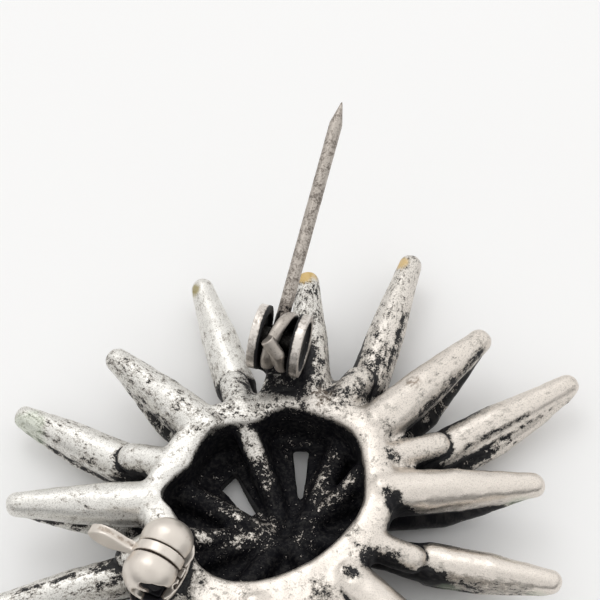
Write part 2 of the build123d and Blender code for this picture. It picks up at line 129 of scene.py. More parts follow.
# black streaks in the hollows along the prongs
STREAKS = [  # x, y, z, end_x, end_y, end_z, half_width, amount
    (11.0, 20.4, 4.6, 9.4, 14.6, 4.6, 0.28, 0.38), (9.4, 16.5, 4.9, 8.0, 13.4, 5.2, 0.8, 0.15),
    (18.7, 15.6, 5.9, 12.4, 8.8, 6.3, 0.60, 0.38), (23.0, 9.4, 4.7, 16.2, 5.5, 4.8, 0.28, 0.40),
    (25.3, 10.6, 2.6, 19.5, 7.0, 2.8, 1.3, -0.40), (12.8, -8.2, 4.4, 21.5, -9.7, 4.6, 1.25, 0.31),
    (-24.4, 7.9, 4.0, -16.2, 2.7, 3.8, 0.30, 0.32), (-16.5, -7.0, 5.2, -25.5, -9.3, 4.4, 0.35, 0.30),
    (-15.8, -8.4, 4.9, -20.0, -9.5, 4.6, 0.30, 0.26),
]
ENAMEL = {  # x, y, z, radius, strength
    "olive": [(-10.1, 24.2, 4.0, 0.75, 0.8)],
    "amber": [(1.2, 24.8, 6.1, 1.25, 0.9), (11.1, 27.3, 4.3, 0.75, 0.8)],
    "green": [(-25.6, 8.3, 3.4, 2.0, 0.32), (21.4, -0.4, 4.6, 1.3, 0.30), (14.6, -8.0, 3.0, 1.1, 0.25),
              (22.8, -9.5, 3.6, 1.2, 0.25)],
    "brown": [(11.6, 11.1, 7.8, 0.8, 0.75), (2.9, 9.5, 7.8, 1.1, 0.5)],
}


# ---------------------------------------------------------------- mesh helpers
def link(mesh, name):
    obj = bpy.data.objects.new(name, mesh)
    bpy.context.scene.collection.objects.link(obj)
    return obj


def apply_all(obj):
    dg = bpy.context.evaluated_depsgraph_get()
    done = bpy.data.meshes.new_from_object(obj.evaluated_get(dg))
    obj.modifiers.clear()
    old = obj.data
    obj.data = done
    bpy.data.meshes.remove(old)
    return obj


def copy_of(node, name):
    """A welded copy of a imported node's mesh, in mm."""
    bm = bmesh.new()
    bm.from_mesh(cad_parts[node].data)
    bmesh.ops.remove_doubles(bm, verts=bm.verts, dist=1e-6)
    bmesh.ops.scale(bm, vec=(1000, 1000, 1000), verts=bm.verts)
    mesh = bpy.data.meshes.new(name)
    bm.to_mesh(mesh)
    bm.free()
    return link(mesh, name)


def block(at, size_x, size_y, low, high, turn_deg):
    """A cutting box in mm, turned about its middle."""
    bm = bmesh.new()
    bmesh.ops.create_cube(bm, size=1)
    t = math.radians(turn_deg)
    for v in bm.verts:
        x, y = v.co[0] * size_x, v.co[1] * size_y
        z = low if v.co[2] < 0 else high
        v.co = (at[0] + x * math.cos(t) - y * math.sin(t), at[1] + x * math.sin(t) + y * math.cos(t), z)
    mesh = bpy.data.meshes.new("cutter")
    bm.to_mesh(mesh)
    bm.free()
    return link(mesh, "cutter")


def prism(corners, low, high, grow):
    """A four-cornered cutter, a little wider at its top."""
    mx, my = sum(p[0] for p in corners) / 4, sum(p[1] for p in corners) / 4
    bm = bmesh.new()
    rings = []
    for z, g in ((low, 0.0), (high, grow)):
        ring = []
        for x, y in corners:
            d = math.hypot(x - mx, y - my)
            ring.append(bm.verts.new((x + g * (x - mx) / d, y + g * (y - my) / d, z)))
        rings.append(ring)
    bm.faces.new(rings[0][::-1])
    bm.faces.new(rings[1])
    for i in range(4):
        j = (i + 1) % 4
        bm.faces.new((rings[0][i], rings[0][j], rings[1][j], rings[1][i]))
    bmesh.ops.recalc_face_normals(bm, faces=bm.faces)
    mesh = bpy.data.meshes.new("cutter")
    bm.to_mesh(mesh)
    bm.free()
    return link(mesh, "cutter")


def cut(obj, cutter, how):
    m = obj.modifiers.new("cut", "BOOLEAN")
    m.operation, m.solver, m.object = how, "MANIFOLD", cutter
    apply_all(obj)
    bpy.data.objects.remove(cutter)


def remesh(obj, voxel):
    m = obj.modifiers.new("remesh", "REMESH")
    m.mode, m.voxel_size, m.adaptivity = "VOXEL", voxel, 0.0
    apply_all(obj)


def relax(obj, factor, times):
    m = obj.modifiers.new("relax", "SMOOTH")
    m.factor, m.iterations = factor, times
    apply_all(obj)


def thin_out(obj, triangles):
    """Fewer triangles where the surface is plain, and no stray bits."""
    bm = bmesh.new()
    bm.from_mesh(obj.data)
    seen, groups = set(), []
    for v in bm.verts:
        if v in seen:
            continue
        stack, group = [v], []
        seen.add(v)
        while stack:
            u = stack.pop()
            group.append(u)
            for e in u.link_edges:
                w = e.other_vert(u)
                if w not in seen:
                    seen.add(w)
                    stack.append(w)
        groups.append(group)
    if len(groups) > 1:
        groups.sort(key=len)
        bmesh.ops.delete(bm, geom=[v for g in groups[:-1] for v in g], context="VERTS")
        bm.to_mesh(obj.data)
    bm.free()
    now = sum(len(p.vertices) - 2 for p in obj.data.polygons)
    if now > triangles:
        m = obj.modifiers.new("thin", "DECIMATE")
        m.ratio = triangles / now
        apply_all(obj)


def points(obj):
    co = np.empty(len(obj.data.vertices) * 3, np.float64)
    obj.data.vertices.foreach_get("co", co)
    return co.reshape(-1, 3)


def normals(obj):
    no = np.empty(len(obj.data.vertices) * 3, np.float32)
    obj.data.vertex_normals.foreach_get("vector", no)
    return no.reshape(-1, 3).astype(np.float64)


def put(obj, co):
    obj.data.vertices.foreach_set("co", co.astype(np.float32).ravel())
    obj.data.update()


def attribute(obj, name, values):
    a = obj.data.attributes.get(name) or obj.data.attributes.new(name, "FLOAT", "POINT")
    a.data.foreach_set("value", np.asarray(values, np.float32))


def vector_attribute(obj, name, values):
    a = obj.data.attributes.get(name) or obj.data.attributes.new(name, "FLOAT_VECTOR", "POINT")
    a.data.foreach_set("vector", np.asarray(values, np.float32).ravel())


def smoothstep(x, a, b):
    t = np.clip((x - a) / (b - a), 0, 1)
    return t * t * (3 - 2 * t)


def lumps(co, size, seed, octaves=2):
    """Smooth noise from -1 to 1 at each point, with lumps about size mm across."""
    k = 1.0 / size
    off = Vector((seed * 17.3, seed * 5.9, seed * 11.1))
    return np.array([noise.fractal(Vector(p) * k + off, 1.0, 2.0, octaves) for p in co.tolist()])


def finish_piece(obj, body, node, material):
    """From mm to metres, above the table, smooth, named material, riding on its body."""
    co = points(obj)
    co[:, 2] = np.maximum(co[:, 2], 0.0)
    put(obj, co * MM)
    obj.data.polygons.foreach_set("use_smooth", np.ones(len(obj.data.polygons), bool))
    obj.data.materials.clear()
    obj.data.materials.append(material)
    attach(obj, body)
    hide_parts(node)
    return obj


# ---------------------------------------------------------------- hidden sky
def openness(tree, co, no, rays, reach):
    """Share of rays that leave the surface freely, 0 to 1."""
    rng = np.random.default_rng(7)
    d = rng.normal(size=(rays, 3))
    d /= np.linalg.norm(d, axis=1)[:, None]
    dirs = [Vector(r) for r in d.tolist()]
    out = np.zeros(len(co))
    for i, (p, n) in enumerate(zip(co.tolist(), no.tolist())):
        n = Vector(n)
        start = Vector(p) + n * 0.08
        n = n * 1.02
        free = 0
        for r in dirs:
            if tree.ray_cast(start, (r + n).normalized(), reach)[0] is None:
                free += 1
        out[i] = free / rays
    return out


def spread(obj, values, times):
    """Averages values over mesh neighbours."""
    n = len(obj.data.edges)
    e = np.empty(n * 2, np.int32)
    obj.data.edges.foreach_get("vertices", e)
    e = e.reshape(-1, 2)
    count = np.bincount(e.ravel(), minlength=len(values)).astype(float)
    for _ in range(times):
        s = np.bincount(e[:, 0], values[e[:, 1]], len(values)) + np.bincount(e[:, 1], values[e[:, 0]], len(values))
        values = 0.5 * values + 0.5 * s / np.maximum(count, 1)
    return values


def carry(from_co, values, to_co):
    """Values of the nearest of other points."""
    kd = kdtree.KDTree(len(from_co))
    for i, p in enumerate(from_co.tolist()):
        kd.insert(p, i)
    kd.balance()
    return np.array([values[kd.find(p)[1]] for p in to_co.tolist()])


# ---------------------------------------------------------------- prong fields
def run_field(co, start, end, r1, r2, belly):
    """Distance from a run's surface, the share along it and the offset from its axis."""
    a, b = np.array(start), np.array(end)
    axis = b - a
    length = np.linalg.norm(axis)
    u = axis / length
    t = (co - a) @ u / length
    tc = np.clip(t, 0, 1)
    off = co - a - np.outer(tc * length, u)
    r = r1 + (r2 - r1) * tc + 4 * belly * tc * (1 - tc)
    return np.linalg.norm(off, axis=1) - r, t, off, u


def keel_field(co, root, tip, lean, knee_share, knee_drop, knee_r, end_share, end_drop, end_r):
    def under(share, drop, k):
        x, y, z = (p + (q - p) * share for p, q in zip(root, tip))
        return (x + lean[0] * k, y + lean[1] * k, z - drop)
    s, k, e = under(0, knee_drop, 1), under(knee_share, knee_drop, 1), under(end_share, end_drop, 0.2)
    return np.minimum(run_field(co, s, k, knee_r, knee_r, 0.0)[0], run_field(co, k, e, knee_r, end_r, 0.05)[0])


def fields(co):
    """For each point, about the nearest prong: its number, distances from the prong and from
    its keel, the share along it, the turn about it, and how much nearer it is than the next;
    and for the stubs of the ring: distance and how black the lap is."""
    n = len(co)
    best, second = np.full(n, 1e9), np.full(n, 1e9)
    out = {k: np.zeros(n) for k in ("prong", "keel", "along", "turn", "mm", "stub", "lap")}
    out["which"] = np.zeros(n, int)
    for k, (name, tier, x, y, z, tx, ty, tz, kx, ky, *_) in enumerate(PRONGS):
        r = BACK_R if tier else FRONT_R
        dp, t, off, u = run_field(co, (x, y, z), (tx, ty, tz), r[0], r[1], BELLY)
        dk = keel_field(co, (x, y, z), (tx, ty, tz), (kx, ky), *(BACK_KEEL if tier else FRONT_KEEL))
        w = np.array((0, 0, 1.0)) - u * u[2]
        w /= np.linalg.norm(w)
        right = np.cross(u, w)
        turn = np.arctan2(off @ right, off @ w)
        d = np.minimum(dp, dk)
        near = d < best
        second = np.where(near, best, np.minimum(second, d))
        for key, v in (("prong", dp), ("keel", dk), ("along", t), ("turn", turn),
                       ("mm", t * math.dist((x, y, z), (tx, ty, tz)))):
            out[key][near] = v[near]
        out["which"][near] = k
        best[near] = d[near]
    out["dist"], out["lead"] = best, second - best
    out["stub"][:] = 1e9
    for name, x, y, z, ex, ey, ez, r, black in STUBS:
        d = run_field(co, (x, y, z), (ex, ey, ez), r, r - 0.05, 0.02)[0]
        near = d < out["stub"]
        out["stub"][near], out["lap"][near] = d[near], black
    # the ring: angle, radii of its mouth and edge, radius of the point
    out["ang"] = np.degrees(np.arctan2(co[:, 1] - RING_AT[1], co[:, 0] - RING_AT[0]))
    ring = sorted(RING)
    out["mouth"] = np.interp(out["ang"], [q[0] for q in ring], [q[1] for q in ring], period=360)
    out["rim"] = np.interp(out["ang"], [q[0] for q in ring], [q[2] for q in ring], period=360)
    out["rad"] = np.hypot(co[:, 0] - RING_AT[0], co[:, 1] - RING_AT[1])
    return out


# ---------------------------------------------------------------- materials
def new_material(name):
    m = bpy.data.materials.new(name)
    m.use_nodes = True
    nt = m.node_tree
    nt.nodes.clear()
    return m, nt


class Nodes:
    """Short calls for building a node tree."""

    def __init__(self, tree):
        self.t = tree
        coord = tree.nodes.new("ShaderNodeTexCoord")
        self.object = coord.outputs["Object"]

    def put(self, socket, value):
        if isinstance(value, bpy.types.NodeSocket):
            self.t.links.new(value, socket)
        else:
            socket.default_value = value

    def math(self, op, a, b=0.0, c=None, clamp=False):
        n = self.t.nodes.new("ShaderNodeMath")
        n.operation, n.use_clamp = op, clamp
        self.put(n.inputs[0], a)
        self.put(n.inputs[1], b)
        if c is not None:
            self.put(n.inputs[2], c)
        return n.outputs[0]

    def step(self, x, a, b, low=0.0, high=1.0):
        n = self.t.nodes.new("ShaderNodeMapRange")
        n.interpolation_type = "SMOOTHSTEP"
        self.put(n.inputs["Value"], x)
        for k, v in (("From Min", a), ("From Max", b), ("To Min", low), ("To Max", high)):
            self.put(n.inputs[k], v)
        return n.outputs[0]

    def mix(self, f, a, b):
        n = self.t.nodes.new("ShaderNodeMix")
        n.data_type = "RGBA"
        self.put(n.inputs["Factor"], f)
        self.put(n.inputs[6], a)
        self.put(n.inputs[7], b)
        return n.outputs[2]

    def number(self, f, a, b):
        n = self.t.nodes.new("ShaderNodeMix")
        n.data_type = "FLOAT"
        self.put(n.inputs["Factor"], f)
        self.put(n.inputs[2], a)
        self.put(n.inputs[3], b)
        return n.outputs[0]

    def noise(self, size_mm, detail=3.0, rough=0.6, distortion=0.0, offset=0.0, where=None, stretch=(1, 1, 1), unit=1000.0):
        n = self.t.nodes.new("ShaderNodeTexNoise")
        n.inputs["Scale"].default_value = unit / size_mm
        n.inputs["Detail"].default_value = detail
        n.inputs["Roughness"].default_value = rough
        n.inputs["Distortion"].default_value = distortion
        m = self.t.nodes.new("ShaderNodeMapping")
        k = 1.0 / unit
        m.inputs["Location"].default_value = (offset * k, offset * 1.7 * k, offset * 0.3 * k)
        m.inputs["Scale"].default_value = stretch
        self.t.links.new(where or self.object, m.inputs["Vector"])
        self.t.links.new(m.outputs[0], n.inputs["Vector"])
        return n.outputs["Fac"]

    def attr(self, name, kind="Fac"):
        n = self.t.nodes.new("ShaderNodeAttribute")
        n.attribute_name = name
        return n.outputs[kind]

    def bump(self, height, strength, distance_mm, normal=None):
        n = self.t.nodes.new("ShaderNodeBump")
        n.inputs["Strength"].default_value = strength
        n.inputs["Distance"].default_value = distance_mm * MM
        self.put(n.inputs["Height"], height)
        if normal is not None:
            self.t.links.new(normal, n.inputs["Normal"])
        return n.outputs[0]

    def surface(self, **inputs):
        n = self.t.nodes.new("ShaderNodeBsdfPrincipled")
        for k, v in inputs.items():
            self.put(n.inputs[k.replace("_", " ")], v)
        o = self.t.nodes.new("ShaderNodeOutputMaterial")
        self.t.links.new(n.outputs[0], o.inputs["Surface"])
        return n


def casting_material():
    """Worn silver-tone plating over black patina, with traces of enamel."""
    m, nt = new_material("antiqued_casting")
    n = Nodes(nt)
    dark, mottle, gloss, streak = n.attr("dark"), n.attr("mottle"), n.attr("gloss"), n.attr("streak")
    flow = n.attr("flow", "Vector")
    # tarnish noise: even all round, drawn out along the prongs where there is one
    even = n.noise(0.40, 4.0, 0.68, 0.25)
    drawn = n.noise(0.34, 4.0, 0.68, 0.25, where=flow, stretch=(0.45, 1, 1), unit=1.0)
    fine = n.number(streak, even, drawn)
    mid = n.noise(1.15, 3.0, 0.6, 0.2, offset=7.0)
    wide = n.noise(3.2, 2.0, 0.5, offset=21.0)
    tiny = n.noise(0.15, 2.0, 0.6, offset=31.0)
    rough_part = n.math("MULTIPLY_ADD", n.math("SUBTRACT", mid, 0.5), 1.9,
                        n.math("MULTIPLY", n.math("SUBTRACT", fine, 0.5), 2.5))
    rough_part = n.math("MULTIPLY_ADD", n.math("SUBTRACT", tiny, 0.5), 1.3, rough_part)
    level = n.math("MULTIPLY_ADD", rough_part, mottle, dark)
    level = n.math("MULTIPLY_ADD", n.math("SUBTRACT", wide, 0.5), 0.25, level)
    # bright metal, a grey-brown edge, then black
    dull = n.step(level, 0.26, 0.46)
    black = n.step(level, 0.50, 0.60)
    silver = n.math("SUBTRACT", 1.0, black)
    light = n.mix(n.attr("warm"), (0.83, 0.815, 0.775, 1), (0.79, 0.73, 0.665, 1))
    grey = n.mix(n.step(mid, 0.42, 0.6), (0.30, 0.275, 0.245, 1), (0.47, 0.44, 0.40, 1))
    grain = n.noise(0.13, 3.0, 0.7, offset=63.0)
    grain = n.math("MULTIPLY", n.step(grain, 0.46, 0.68), n.math("MULTIPLY_ADD", mottle, 0.75, 0.16))
    light = n.mix(grain, light, (0.34, 0.32, 0.295, 1))
    colour = n.mix(n.math("MULTIPLY", dull, 0.85), light, grey)
    soot = n.mix(n.step(fine, 0.45, 0.65), (0.006, 0.006, 0.008, 1), (0.028, 0.027, 0.027, 1))
    colour = n.mix(black, colour, soot)
    # enamel traces
    colour = n.mix(n.attr("olive"), colour, (0.30, 0.24, 0.06, 1))
    colour = n.mix(n.attr("amber"), colour, (0.66, 0.45, 0.15, 1))
    colour = n.mix(n.attr("green"), colour, (0.50, 0.60, 0.44, 1))
    colour = n.mix(n.math("MULTIPLY", n.attr("brown"), n.step(fine, 0.40, 0.56)), colour, (0.20, 0.15, 0.11, 1))
    paint = n.math("MAXIMUM", n.math("MAXIMUM", n.attr("olive"), n.attr("amber")), n.attr("green"))
    metal = n.math("MULTIPLY", silver, n.math("SUBTRACT", 1.0, paint))
    metal = n.math("MULTIPLY", metal, n.number(n.attr("warm"), 0.96, 0.98))
    plain = n.number(gloss, 0.46, 0.28)
    rough = n.math("MULTIPLY_ADD", dull, 0.12, plain)
    rough = n.math("MULTIPLY_ADD", n.math("SUBTRACT", fine, 0.5), 0.25, rough, clamp=True)
    rough = n.number(black, rough, 0.46)
    height = n.math("MULTIPLY_ADD", dull, -0.4, n.math("MULTIPLY", black, -0.6))
    b = n.bump(height, 0.5, 0.05)
    b = n.bump(n.noise(0.85, 5.0, 0.62, offset=51.0), 0.30, 0.14, b)
    b = n.bump(n.math("MULTIPLY", tiny, mottle), 0.30, 0.06, b)
    n.surface(Base_Color=colour, Metallic=metal, Roughness=rough, Normal=b,
              Specular_IOR_Level=n.number(n.attr("deep"), 0.24, 0.06))
    return m


def finding_material(name, light, shade, dark_colour, rough):
    """Smooth worn plating of the catch, or the joint, with the shade painted in by its 'dark' attribute."""
    m, nt = new_material(name)
    n = Nodes(nt)
    dark = n.attr("dark")
    fine = n.noise(0.34, 4.0, 0.62, 0.25)
    mid = n.noise(1.5, 3.0, 0.55, offset=5.0)
    level = n.math("MULTIPLY_ADD", n.math("SUBTRACT", fine, 0.5), 0.75, dark)
    level = n.math("MULTIPLY_ADD", n.math("SUBTRACT", mid, 0.5), 0.55, level)
    dull = n.step(level, 0.26, 0.48)
    black = n.step(level, 0.48, 0.62)
    colour = n.mix(dull, n.mix(mid, light, tuple(0.94 * c for c in light[:3]) + (1,)), shade)
    colour = n.mix(black, colour, dark_colour)
    colour = n.mix(n.step(level, 0.95, 1.20), colour, (0.008, 0.007, 0.009, 1))
    r = n.math("MULTIPLY_ADD", n.math("SUBTRACT", fine, 0.5), 0.20, n.number(dull, rough, 0.5), clamp=True)
    b = n.bump(n.noise(0.7, 5.0, 0.6, offset=9.0), 0.16, 0.10)
    b = n.bump(black, 0.3, -0.05, b)
    n.surface(Base_Color=colour, Metallic=n.number(black, 0.97, 0.15), Roughness=r, Normal=b, Specular_IOR_Level=0.3)
    return m


def wire_material(name, light, dull_colour):
    m, nt = new_material(name)
    n = Nodes(nt)
    fine = n.noise(0.20, 4.0, 0.68, 0.2)
    mid = n.noise(0.9, 3.0, 0.6, offset=5.0)
    tint = n.math("MULTIPLY_ADD", n.math("SUBTRACT", fine, 0.5), 1.8, n.math("ADD", mid, n.attr("dark")))
    c = n.mix(n.step(tint, 0.34, 0.78), light, dull_colour)
    c = n.mix(n.step(tint, 0.82, 1.12), c, (0.012, 0.011, 0.011, 1))
    b = n.bump(fine, 0.30, 0.035)
    n.surface(Base_Color=c, Metallic=0.96, Roughness=n.step(mid, 0.3, 0.7, 0.36, 0.50), Normal=b)
    return m


# ---------------------------------------------------------------- the casting
def build_body():
    voxel = 0.17
    body = copy_of("burst_casting", "burst_body")
    cut(body, block(JOINT, 5.4, 7.0, 7.7, 20, JOINT_DEG), "DIFFERENCE")
    cut(body, block(CATCH, 6.4, 9.0, 8.0, 20, CATCH_DEG), "DIFFERENCE")
    # soft fillets where pieces were cast together: grow, remesh, shrink
    remesh(body, 0.24)
    put(body, points(body) + normals(body) * 0.26)
    remesh(body, 0.24)
    relax(body, 0.5, 1)
    put(body, points(body) - normals(body) * 0.20)
    for name, x1, y1, x2, y2, x3, y3, x4, y4 in SLOTS:
        cut(body, prism(((x1, y1), (x2, y2), (x3, y3), (x4, y4)), -1.0, 3.2, 0.25), "DIFFERENCE")
    remesh(body, voxel)
    relax(body, 0.5, 2)
    # grooves along the keels and at the laps, and an uneven hand-finished surface
    co, no = points(body), normals(body)
    f = fields(co)
    crease, lap = creases(f)
    groove = np.array([p[16] for p in PRONGS])[f["which"]]
    shape = -0.22 * groove * crease - 0.24 * lap
    shape += 0.075 * lumps(co, 2.6, 1) + 0.030 * lumps(co, 0.9, 2)
    for x, y, z, r, amount, dent in PATCHES:
        if dent:
            d = np.linalg.norm((co - np.array((x, y, z))) * (1.25, 0.7, 1), axis=1)
            shape -= dent * smoothstep(d, r, r * 0.3)
    put(body, co + no * shape[:, None])
    thin_out(body, 186000)
    return body


def creases(f):
    """How near a point is to the line between prong and keel, and to a stub's lapped end."""
    on = smoothstep(f["rad"], f["rim"] - 0.6, f["rim"] + 0.6)
    crease = np.exp(-(f["prong"] ** 2 + f["keel"] ** 2) / (2 * 0.20 ** 2)) * on
    crease *= smoothstep(f["along"], 1.0, 0.82) * smoothstep(f["stub"], 0.1, 0.5)
    lap = np.exp(-(np.minimum(f["prong"], f["keel"]) ** 2 + f["stub"] ** 2) / (2 * 0.19 ** 2)) * on
    return crease, lap


def build_part_of_casting(name, cutter, voxel):
    piece = copy_of("burst_casting", name)
    cut(piece, cutter, "INTERSECT")
    remesh(piece, voxel)
    relax(piece, 0.5, 3)
    return piece


def build_small(node, name, voxel, times, rough):
    piece = copy_of(node, name)
    remesh(piece, voxel)
    relax(piece, 0.5, times)
    co = points(piece)
    put(piece, co + normals(piece) * (rough * lumps(co, 0.8, 4))[:, None])
    return piece


def lever_crease(co, no):
    """The long crease on top of the catch's lever."""
    t = math.radians(CATCH_DEG)
    q = co - np.array(CATCH)
    out = q[:, 0] * math.cos(t) + q[:, 1] * math.sin(t)
    across = -q[:, 0] * math.sin(t) + q[:, 1] * math.cos(t)
    line = np.exp(-((across - 0.05) / 0.20) ** 2) * smoothstep(no[:, 2], 0.3, 0.7)
    return line * smoothstep(out, -2.2, -2.7) * smoothstep(out, -6.9, -5.6)


def crescent(co):
    """The hollow across the near dome's end; the same mask dents the housing in and paints shade into the hollow."""
    runs = (((-13.2, -12.1, 11.75), (-12.4, -12.4, 11.65), 0.22, 0.42), ((-12.4, -12.4, 11.65), (-11.5, -12.4, 11.2), 0.42, 0.46),
            ((-11.5, -12.4, 11.2), (-10.7, -11.6, 10.2), 0.46, 0.30), ((-10.7, -11.6, 10.2), (-10.3, -11.1, 9.4), 0.30, 0.15))
    return smoothstep(np.min([run_field(co, a, b, r1, r2, 0.0)[0] for a, b, r1, r2 in runs], axis=0), 0.14, -0.10)


body = build_body()
joint = build_part_of_casting("joint_ears", block(JOINT, 5.2, 6.8, 7.42, 20, JOINT_DEG), 0.10)
catch = build_part_of_casting("catch_housing", block(CATCH, 6.2, 8.8, 7.75, 20, CATCH_DEG), 0.10)
put(catch, points(catch) - normals(catch) * (0.30 * crescent(points(catch)))[:, None])
pin = build_small("pin_stem", "pin_wire", 0.085, 3, 0.012)
rivet = build_small("joint_rivet", "rivet", 0.08, 3, 0.01)
rotor = build_small("catch_rotor", "rotor", 0.08, 4, 0.015)
put(rotor, points(rotor) - normals(rotor) * (0.14 * lever_crease(points(rotor), normals(rotor)))[:, None])


# every surface the sky can be hidden by, at rest, in one tree
def tree_of(objs):
    verts, faces = [], []
    for o in objs:
        base = len(verts)
        verts += points(o).tolist()
        faces += [[i + base for i in p.vertices] for p in o.data.polygons]
    return BVHTree.FromPolygons(verts, faces)


rough_body = link(body.data.copy(), "rough_body")
remesh(rough_body, 0.45)
tree = tree_of([rough_body, joint, catch])
rays = 22
co, no = points(rough_body), normals(rough_body)
sky_body = carry(co, spread(rough_body, openness(tree, co, no, rays, 7.0), 2), points(body))
sky_body = spread(body, sky_body, 4)
bpy.data.objects.remove(rough_body)
sky = {}
for o in (joint, catch, rotor, pin):
    sky[o.name] = spread(o, openness(tree, points(o), normals(o), 12, 5.0), 3)


# ---- bright and black parts of the body
def near(co, x, y, z, r):
    return smoothstep(np.linalg.norm(co - np.array((x, y, z)), axis=1), r * 1.25, r * 0.55)


co, no = points(body), normals(body)
f = fields(co)
crease, lap = creases(f)
look = np.array([p[10:17] for p in PRONGS])[f["which"]]
on_prong = smoothstep(f["rad"], f["rim"] - 0.3, f["rim"] + 1.2) * smoothstep(f["dist"], 0.7, 0.35)
on_prong *= smoothstep(f["stub"] - f["dist"], -0.05, 0.15)
table = sorted(RING_LOOK)
ring_mottle = np.interp(f["ang"], [q[0] for q in table], [q[1] for q in table], period=360)
ring_dark = np.interp(f["ang"], [q[0] for q in table], [q[2] for q in table], period=360)
along = np.clip(f["along"], 0, 1)
dark = ring_dark * (1 - on_prong) + look[:, 1] * on_prong
mottle = ring_mottle * (1 - on_prong) + look[:, 0] * on_prong
# the flank below each prong's crease: black at the root, grey towards the tip
wander = 0.16 * lumps(co, 1.3, 5)
flank = smoothstep(f["prong"] - f["keel"] + wander, -0.28, 0.26) * on_prong
reach = look[:, 4] + 0.16 * lumps(co, 1.3, 6)
flank_dark = look[:, 3] + (look[:, 2] - look[:, 3]) * smoothstep(along, reach + 0.15, reach - 0.15)
flank_dark = flank_dark - 0.34 * smoothstep(no[:, 2], -0.05, -0.60) * (1 - 0.65 * smoothstep(look[:, 5], 0.65, 0.85))
dark = dark * (1 - flank) + flank_dark * flank
mottle = np.maximum(mottle, 0.80 * np.sqrt(flank))
# lines
ragged = 0.5 + lumps(co, 0.7, 9)
dark += look[:, 6] * crease * np.clip(ragged + 0.3, 0, 1) * smoothstep(along, 1.0, 0.85)
dark += 1.15 * lap * f["lap"] * np.clip(ragged + 0.45, 0, 1)
# the ring's outer wall, between the prongs
wall = np.interp(f["ang"], [q[0] for q in table], [q[3] for q in table], period=360)
on_stub = smoothstep(f["stub"], 0.45, 0.15)
dark += 0.7 * on_stub * (1 - on_prong) * smoothstep(no[:, 2] + 0.3 * (ragged - 0.5), 0.35, -0.05)
dark += wall * (1 - on_prong) * (1 - on_stub) * smoothstep(f["rad"], f["rim"] - 1.3, f["rim"] - 0.3) * smoothstep(co[:, 2] + 0.4 * ragged, 7.3, 6.4)
# what the sky can't reach stays black
dark += 0.95 * smoothstep(sky_body, 0.56, 0.20) + 0.10 * smoothstep(sky_body, 0.85, 0.55)
dark -= 0.06 * smoothstep(sky_body, 0.80, 0.97)
# silver flecks in the black flanks of the duller prongs
fleck = on_prong * flank * smoothstep(look[:, 5], 0.72, 0.62)
dark = dark * (1 - fleck) + np.minimum(dark, 0.86) * fleck
mottle = np.maximum(mottle, 1.0 * fleck)
# inside of the hollow
edge = 0.30 * lumps(co, 0.9, 12) + 0.22 * lumps(co, 0.35, 13)
inside = smoothstep(f["rad"] + edge, f["mouth"] + 0.45, f["mouth"] + 0.10) * smoothstep(co[:, 2] + 0.5 * edge, 7.5, 6.9)
pit = np.full(len(co), 1.22)
pit -= 0.10 * smoothstep(no[:, 2], 0.3, 0.9)
for name, x, y, z, hx, hy, hz, r1, r2 in STRUTS:
    d, t, off, u = run_field(co, (x, y, z), (hx, hy, hz), r1, r2, 0.02)
    top = smoothstep(no[:, 2], 0.25, 0.8) * smoothstep(d, 0.5, 0.15)
    if name == "e":
        pit -= top * (0.52 * smoothstep(t, 0.62, 0.30) + 0.36 * smoothstep(t, 0.98, 0.70))
    if name == "i":
        pit -= top * 0.30 * smoothstep(t, 0.1, 0.3)
    if name == "a":
        pit -= top * 0.34
for x1, y1, x2, y2, amount in ((-9.0, 1.0, -2.5, -1.6, 0.40), (4.2, 5.6, 2.2, 1.2, 0.36), (-8.0, -4.6, -2.0, -3.4, 0.34),
                               (3.4, -6.0, 1.2, -3.4, 0.22)):
    d, t, off, u = run_field(co, (x1, y1, 2.9), (x2, y2, 2.6), 1.0, 1.0, 0.0)
    pit -= amount * smoothstep(d, 0.5, 0.0) * smoothstep(no[:, 2], 0.3, 0.8)
dark = dark * (1 - inside) + pit * inside
mottle = mottle * (1 - inside) + 0.95 * inside
for x, y, z, r, amount, dent in PATCHES:
    d = np.linalg.norm(co - np.array((x, y, z)), axis=1) + 0.5 * r * lumps(co, 0.8, 14)
    dark += amount * smoothstep(d, r * 1.3, r * 0.5)
    mottle += 0.4 * max(amount, 0) * smoothstep(d, r * 1.6, r * 0.6)
for x, y, z, ex, ey, ez, r, amount in STREAKS:
    d, t, off, u = run_field(co, (x, y, z), (ex, ey, ez), 0.0, 0.0, 0.0)
    d = d + 0.35 * r * lumps(co, 0.7, 15)
    dark += amount * smoothstep(d, r * 1.4, r * 0.4)
# the joint's neck and plate, between the ears' legs
jt = math.radians(JOINT_DEG)
q = co - np.array(JOINT)
side = q[:, 0] * math.cos(jt) + q[:, 1] * math.sin(jt)
ahead = q[:, 0] * math.sin(jt) - q[:, 1] * math.cos(jt)
neck = smoothstep(side, -3.2, -2.4) * smoothstep(side, 3.3, 2.6) * smoothstep(ahead, 4.0, 2.6) * smoothstep(ahead, -3.6, -2.8)
neck *= smoothstep(co[:, 2], 4.4, 5.2)
dark += 0.32 * neck
mottle = np.maximum(mottle, 1.05 * neck)
attribute(body, "deep", np.clip(inside + 0.5 * flank, 0, 1))
attribute(body, "warm", smoothstep(co[:, 0] - 0.6 * co[:, 1], -14, 4))
attribute(body, "dark", np.clip(dark, -0.2, 1.6))
attribute(body, "mottle", np.clip(mottle, 0, 1.2))
attribute(body, "gloss", np.clip(look[:, 5] * on_prong + (1 - on_prong) * (1 - ring_mottle) * 0.8, 0, 1) * (1 - inside))
attribute(body, "streak", on_prong * smoothstep(f["lead"], 0.15, 0.7) * smoothstep(f["along"], 1.02, 0.9))
vector_attribute(body, "flow", np.stack([f["mm"], f["turn"] * 1.7, f["which"] * 17.0], 1))
